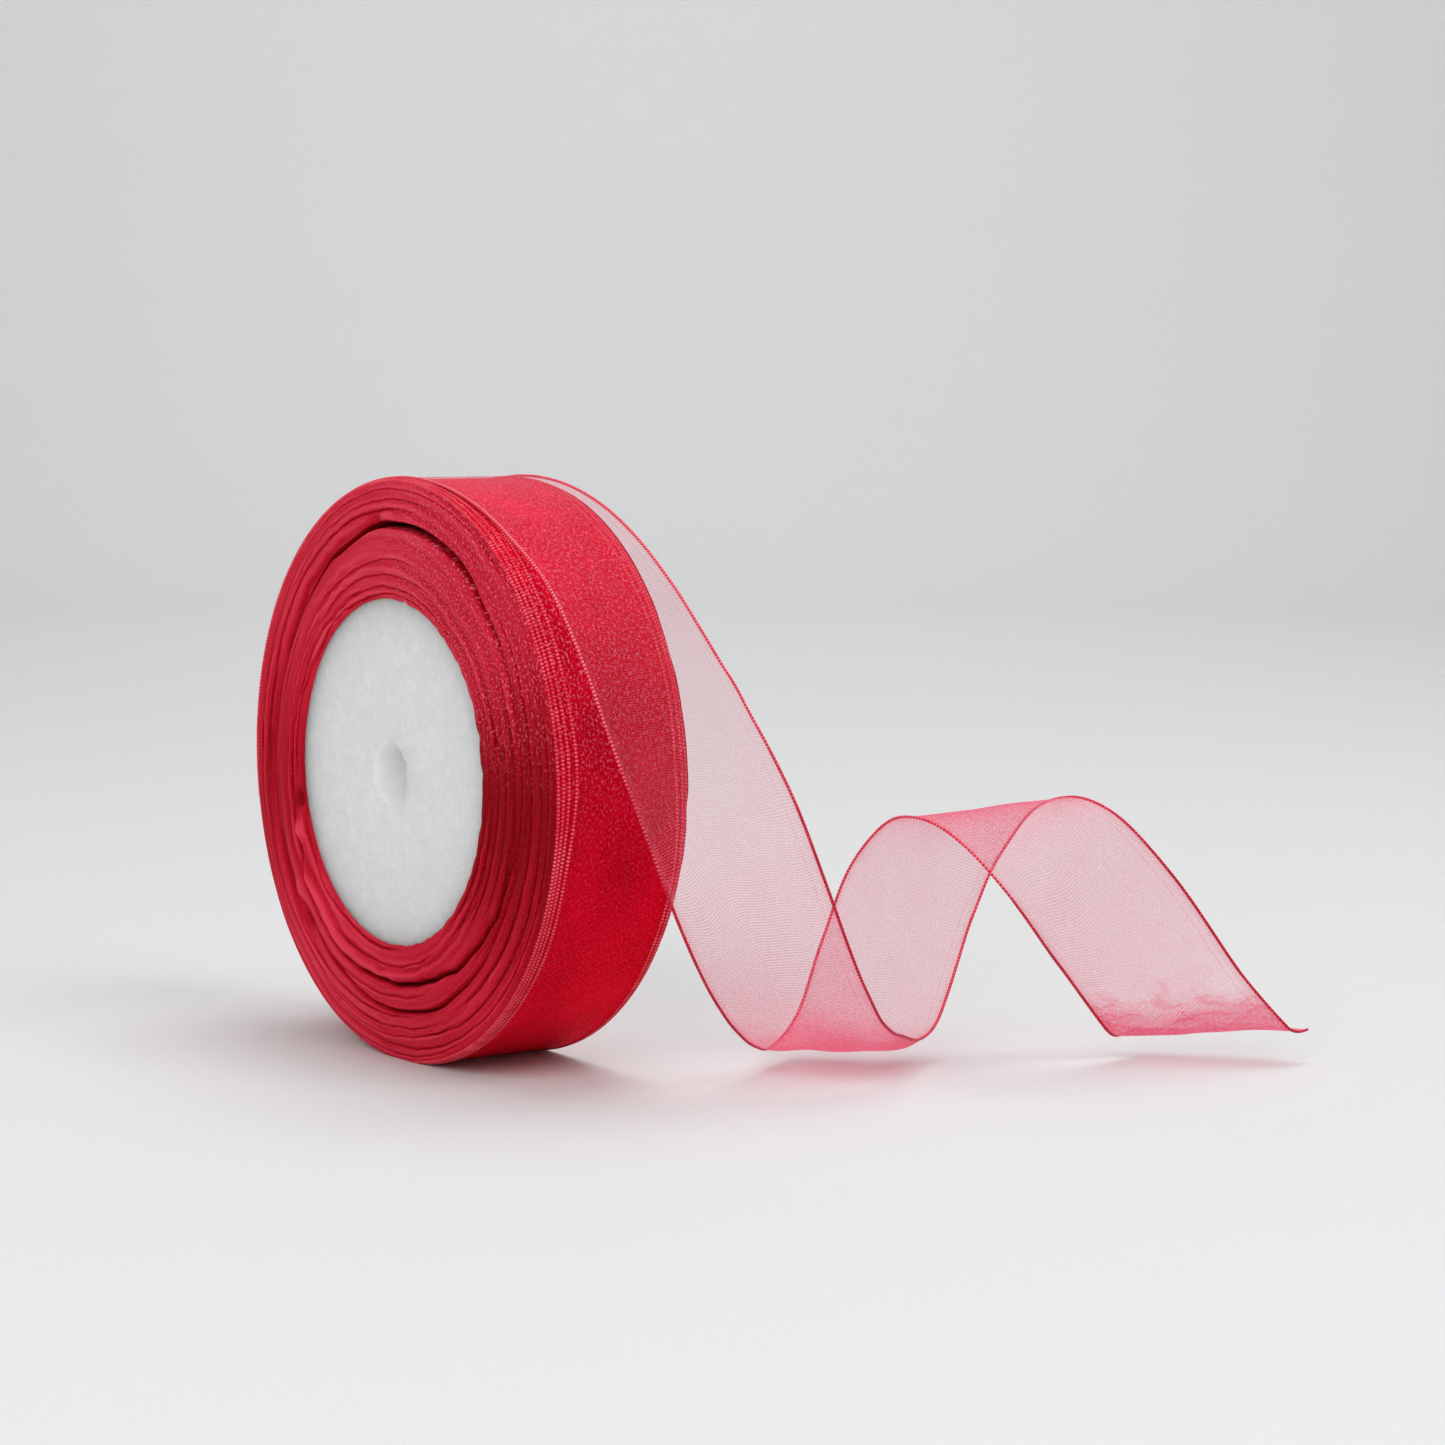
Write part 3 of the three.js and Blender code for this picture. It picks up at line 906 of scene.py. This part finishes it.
def last_turn_at(degrees):
    """Middle, heading and direction of the width of the last turn, at angles from the top."""
    degrees = np.asarray(degrees, float)
    a = np.radians(degrees)
    eased = np.maximum(degrees - DRIFT_START, 0) / (DEPARTURE - DRIFT_START)
    slope = 2 * DRIFT * eased / (TURN_RADIUS * math.radians(DEPARTURE - DRIFT_START))
    outward = np.stack([np.sin(a), 0 * a, np.cos(a)], -1)
    centre = outward * TURN_RADIUS + np.stack([0 * a, DRIFT * eased**2, 0 * a + ROLL_CENTRE], -1)
    heading = unit(np.stack([np.cos(a), slope, -np.sin(a)], -1))
    return centre, heading, unit(np.cross(outward, heading))


def tail_table():
    centre, _, across = last_turn_at([DEPARTURE - LEAD_IN, DEPARTURE])
    centres, widths = [*centre], [*across]
    for place, turn, tilt in TAIL_STATIONS:
        t, up = math.radians(turn), math.radians(tilt)
        centres.append(np.array(place, float))
        widths.append(np.array([math.sin(t) * math.cos(up), math.cos(t) * math.cos(up), math.sin(up)]))
    return np.array(centres), np.array(widths)


STATION_CENTRES, STATION_WIDTHS = tail_table()


def spline(points, station):
    """Uniform Catmull-Rom through the stations, where the departure is station 0, and its derivative."""
    padded = np.concatenate([[2 * points[0] - points[1]], points, [2 * points[-1] - points[-2]]])
    s = np.asarray(station, float) + 1
    i = np.clip(np.floor(s).astype(int), 0, len(points) - 2)
    t = (s - i)[..., None]
    p0, p1, p2, p3 = padded[i], padded[i + 1], padded[i + 2], padded[i + 3]
    v0, v1 = (p2 - p0) / 2, (p3 - p1) / 2
    a, b = 2 * p1 - 2 * p2 + v0 + v1, -3 * p1 + 3 * p2 - 2 * v0 - v1
    return ((a * t + b) * t + v0) * t + p1, (3 * a * t + 2 * b) * t + v0


FINE_STATIONS = np.linspace(0, CUT_BACK + 0.4, 4000)
middle_line = spline(STATION_CENTRES, FINE_STATIONS)[0]
FINE_LENGTHS = np.concatenate([[0], np.cumsum(np.linalg.norm(np.diff(middle_line, axis=0), axis=1))])


def station_at(length):
    return np.interp(length, FINE_LENGTHS, FINE_STATIONS)


def length_at(station):
    return np.interp(station, FINE_STATIONS, FINE_LENGTHS)


LENGTH_BOTTOM = float(length_at(BOTTOM_BEND))
LENGTH_ARCH = float(length_at(ARCH_BEND))
BLEND_REACH = 8.0                 # how far before each joint one piece of cloth hands over to the next, in mm
LIFT_REACH = (2.0, 8.0)           # less before the departure than after it
CURL_RADIUS = 3.0
CURL_RISE = 0.18
TOUCH_LINE = np.array([0.686, 0.728, 0.0])
CURL_BEFORE = (6.7, 3.8)          # where the curl begins, in mm before the end of the CAD strip: front, back
CURL_SPARE = (4.0, 1.0)           # how much further the cloth goes than the CAD strip: front, back
END_SHIFT = np.array([-9.0, 8.7, -2.3])   # how far the cut end has slid away over the table
ARC_PER_DEGREE = TURN_RADIUS * math.pi / 180


def ribbon_at(length):
    """Middle, heading and width direction at a length in mm from the departure, negative on the roll."""
    length = np.asarray(length, float)
    on_roll = last_turn_at(DEPARTURE + np.minimum(length, 0) / ARC_PER_DEGREE)
    station = station_at(np.maximum(length, 0))
    centre, heading = spline(STATION_CENTRES, station)
    across = unit(spline(STATION_WIDTHS, station)[0])
    free = (length > 0)[..., None]
    return tuple(np.where(free, b, a) for a, b in zip(on_roll, (centre, unit(heading), across)))


SEAT = 0.30  # how much nearer to the roll the cloth lies than the middle of its CAD strip


def ripple(length, across):
    """Small creases out of the cloth's plane, in mm: none on the roll, a few at the bends and the cut."""
    end = smoothstep(length, 205, 228)
    creases = 0.0
    for at, side, run, wide, height in (
        (222.0, 3.0, 0.25, 0.9, 0.55), (226.5, 5.5, -0.18, 0.8, -0.50), (218.0, 8.0, 0.30, 0.8, 0.40),
        (229.0, 0.0, 0.10, 1.0, 0.60), (213.0, 6.5, 0.35, 0.7, 0.30),
    ):
        ridge = (length - at) - run * (across - side)
        creases = creases + height * bell(ridge, wide) * bell(across - side, 4.5)
    arch = 0.22 * bell(length - LENGTH_ARCH + 14, 9) * np.sin(across * 0.55 + length * 0.12)
    bend = 0.18 * bell(length - LENGTH_BOTTOM + 10, 7) * np.sin(across * 0.7 - length * 0.2)
    free = smoothstep(length, 6, 40)
    broad = 0.10 * free * line_noise(length + 0.6 * across, 91, 40, 9, 10)
    return end * creases + arch + bend + broad


def touch_length(across):
    """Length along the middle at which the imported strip's oblique cut lies, for a place across it."""
    station = CUT_FRONT + (CUT_BACK - CUT_FRONT) * (across / RIBBON_WIDTH + 0.5)
    return length_at(station)


def curl_length(across):
    """Length along the middle at which the end begins to curl away, for a place across it."""
    share = across / RIBBON_WIDTH + 0.5
    return touch_length(across) - (CURL_BEFORE[0] * (1 - share) + CURL_BEFORE[1] * share)


def cut_length(across):
    """Length along the middle at which the cloth itself ends, with most to spare at the front corner."""
    share = across / RIBBON_WIDTH + 0.5
    return touch_length(across) + CURL_SPARE[0] * (1 - share) + CURL_SPARE[1] * share


def hollow_lift(length, across):
    """How far the bottom bend's cloth bows up from the table, in mm: most at its back edge."""
    side = across / HALF_WIDTH
    return (1.1 + 1.75 * side**4 + 1.15 * side**5) * bell(length - LENGTH_BOTTOM, 16.0)


def draw_in(length, across):
    """How far the edges are drawn in along the width, in mm, where the cloth turns up from the table."""
    side = across / HALF_WIDTH
    back = 1.2 * np.maximum(side, 0) ** 4 * bell(length - LENGTH_BOTTOM - 3.0, 9.0)
    front = 0.8 * np.maximum(-side, 0) ** 4 * bell(length - LENGTH_BOTTOM - 18.0, 14.0)
    return front - back


def crown(length, across):
    """The arch's cloth stands a little proud in the middle of its width, in mm."""
    return 1.5 * (1 - (across / HALF_WIDTH) ** 2) * bell(length - LENGTH_ARCH, 14.0)


def seat_offset(length):
    """Signed offset along the strip's normal: the cloth lies close on the roll and leaves it smoothly."""
    return -SEAT * (1 - smoothstep(length, -30, 12))


def open_surface(length, across):
    """Points of the cloth without the curl at its cut end."""
    centre, heading, width = ribbon_at(length)
    normal = unit(np.cross(heading, width))
    offset = ripple(length, across) + seat_offset(length) + crown(length, across)
    points = centre + width * (across + draw_in(length, across))[..., None] + normal * offset[..., None]
    points[..., 2] += hollow_lift(length, across)
    return points + END_SHIFT * smoothstep(length, 190, 226)[..., None], heading


def ribbon_surface(length, across):
    """Points of the cloth at arrays of length and place across, in mm. Its end curls back over the table."""
    length, across = np.broadcast_arrays(np.asarray(length, float), np.asarray(across, float))
    curl_start = curl_length(across)
    points, heading = open_surface(np.minimum(length, curl_start), across)
    spare = np.maximum(length - curl_start, 0)[..., None]
    # the curl is a cylinder along the line where the end comes down; the part past it lies over the table
    along = (heading * TOUCH_LINE).sum(-1, keepdims=True)
    down = unit(heading - along * TOUCH_LINE)
    away = np.array([-TOUCH_LINE[1], TOUCH_LINE[0], CURL_RISE])
    away = away / np.linalg.norm(away)
    facing = (down * away).sum(-1, keepdims=True)
    turn = np.arccos(np.clip(facing, -1, 1))
    inward = unit(away - facing * down)
    run = spare * np.sqrt(1 - along**2)
    angle = np.minimum(run / CURL_RADIUS, turn)
    points = points + spare * along * TOUCH_LINE
    points = points + CURL_RADIUS * (np.sin(angle) * down + (1 - np.cos(angle)) * inward)
    return points + np.maximum(run - CURL_RADIUS * turn, 0) * away


CLOTH_STEP = 0.55                 # spacing of the cloth's rows of vertices along the ribbon
CLOTH_COLUMNS = 41
CORD_PLACE = 12.25                # the cord's middle, across the ribbon
CORD_RADIUS = 0.26
CORD_BEADS = 0.14                 # how much thicker the cord is at its beads
CORD_STEP = BEAD_PITCH / 4
CORD_CLEARANCE = 0.02             # least height of the cord over the table


def edge_cord(start, stop, side):
    """Rings of vertices of the corded edge on one side, and their lengths along the middle."""
    run = np.linspace(start, stop, int(round((stop - start) / CORD_STEP)) + 1)
    centre = ribbon_surface(run, np.full(len(run), CORD_PLACE * side))
    _, heading, width = ribbon_at(run)
    normal = unit(np.cross(heading, width))
    beads = 1 + CORD_BEADS * np.cos(2 * np.pi * run / BEAD_PITCH)
    angle = np.linspace(0, 2 * np.pi, CORD_SIDES, endpoint=False)[None, :, None]
    ring = width[:, None] * np.cos(angle) + normal[:, None] * np.sin(angle)
    points = centre[:, None] + ring * (CORD_RADIUS * beads)[:, None, None]
    points[..., 2] = np.maximum(points[..., 2], CORD_CLEARANCE)
    return points, run


def ribbon_piece(name, start, end, oblique=False):
    """A stretch of cloth with its two corded edges, as one mesh, between two lengths along the middle."""
    steps = max(int(round((end - start) / CLOTH_STEP)), 8)
    across = np.linspace(-CORD_PLACE, CORD_PLACE, CLOTH_COLUMNS)
    t = np.linspace(0, 1, steps + 1)[:, None]
    last = cut_length(across) if oblique else np.full(CLOTH_COLUMNS, float(end))
    lengths = start + (last[None, :] - start) * t
    sides = np.broadcast_to(across, lengths.shape)
    vertices = [ribbon_surface(lengths, sides).reshape(-1, 3)]
    faces = [grid_faces(steps + 1, CLOTH_COLUMNS)]
    uvs = [np.stack([lengths, sides], -1).reshape(-1, 2)]
    kinds = [np.zeros(len(faces[0]), int)]
    first = len(vertices[0])
    for side in (-1, 1):
        stop = cut_length(np.array([CORD_PLACE * side]))[0] if oblique else end
        points, run = edge_cord(start, stop, side)
        vertices.append(points.reshape(-1, 3))
        faces.append(grid_faces(len(run), CORD_SIDES, close_columns=True, first=first))
        along = np.repeat(run, CORD_SIDES)
        uvs.append(np.stack([along, np.full(len(along), HALF_WIDTH * side)], -1))
        kinds.append(np.ones(len(faces[-1]), int))
        first += len(along)
    vertices, faces, uv, kind = (np.concatenate(parts) for parts in (vertices, faces, uvs, kinds))
    piece = mesh_object(name, vertices, faces, uv, None, (ORGANZA, SELVAGE), kind)
    return piece


def blend_over(piece, at_length):
    """Bakes the piece's placement into its mesh."""
    centre, heading, _ = (values[0] for values in ribbon_at(np.array([at_length])))
    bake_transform(piece)


# lengths from the departure at which each piece of cloth takes over from the one before
START_LENGTH = (LAST_TURN_START - DEPARTURE) * ARC_PER_DEGREE
RISE_FROM = LENGTH_BOTTOM - BLEND_REACH
FALL_FROM = LENGTH_ARCH - BLEND_REACH
MIDDLE_CUT = float(cut_length(np.array([0.0]))[0])
BEND_REACH = (BLEND_REACH, BLEND_REACH)
# piece, from and to, the joint it bends over, where and how far that bend reaches, the CAD part replaced
TAIL_PIECES = [
    ("dropping_ribbon", -BLEND_REACH, RISE_FROM, "tail_lift", 0.0, LIFT_REACH, "tail_drop"),
    ("rising_ribbon", RISE_FROM, FALL_FROM, "bottom_bend", LENGTH_BOTTOM, BEND_REACH, "tail_rise"),
    ("falling_ribbon", FALL_FROM, MIDDLE_CUT, "arch_bend", LENGTH_ARCH, BEND_REACH, "tail_fall"),
]
pieces = {"last_turn_ribbon": ribbon_piece("last_turn_ribbon", START_LENGTH, -BLEND_REACH)}
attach(pieces["last_turn_ribbon"], "last_turn")
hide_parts("last_turn")
for name, start, end, joint_name, at_length, reach, node_name in TAIL_PIECES:
    pieces[name] = ribbon_piece(name, start, end, oblique=name == "falling_ribbon")
    blend_over(pieces[name], at_length)
    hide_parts(node_name)


# ---------------------------------------------------------------- floor, backdrop and lights
def studio_bowl():
    """A pale seamless floor that sweeps up all round, open at the top."""
    angular, bend_steps = 96, 12
    theta = np.linspace(0, 2 * np.pi, angular, endpoint=False)
    flat, bend, top = 1350.0, 450.0, 1500.0
    profile = [(1.0, 0.0), (400.0, 0.0), (900.0, 0.0), (flat, 0.0)]
    for a in np.linspace(0, math.pi / 2, bend_steps + 1)[1:]:
        profile.append((flat + bend * math.sin(a), bend * (1 - math.cos(a))))
    profile.append((flat + bend, top))
    x, y = np.cos(theta), np.sin(theta)
    points = np.stack([np.stack([r * x, r * y, z + 0 * theta], -1) for r, z in profile])
    faces = grid_faces(len(profile), angular, close_columns=True)
    mesh_object("studio_floor", points.reshape(-1, 3), faces, None, None, (PAPER,))


studio_bowl()


def area_light(name, place, target, size, power):
    data = bpy.data.lights.new(name, "AREA")
    data.shape = "SQUARE"
    data.size = size
    data.energy = power
    light = bpy.data.objects.new(name, data)
    light.location = place
    light.rotation_euler = (Vector(target) - Vector(place)).to_track_quat("-Z", "Y").to_euler()
    bpy.context.scene.collection.objects.link(light)


area_light("key", (0.78, 0.22, 0.93), (0.02, 0.03, 0.03), 0.55, 4.0)
area_light("top", (-0.15, 0.28, 1.22), (0.03, 0.03, 0.0), 0.9, 7.3)
area_light("fill", (0.55, -0.85, 0.75), (0.0, 0.0, 0.05), 0.9, 6.6)
area_light("backdrop", (-0.95, 0.69, 1.05), (-1.40, 1.02, 0.25), 0.5, 3.5)

world = bpy.data.worlds.new("soft_daylight")
world.use_nodes = True
background = world.node_tree.nodes["Background"]
background.inputs["Color"].default_value = (0.98, 0.99, 1.0, 1.0)
background.inputs["Strength"].default_value = 0.20
bpy.context.scene.world = world
bpy.context.scene.view_settings.view_transform = "Standard"
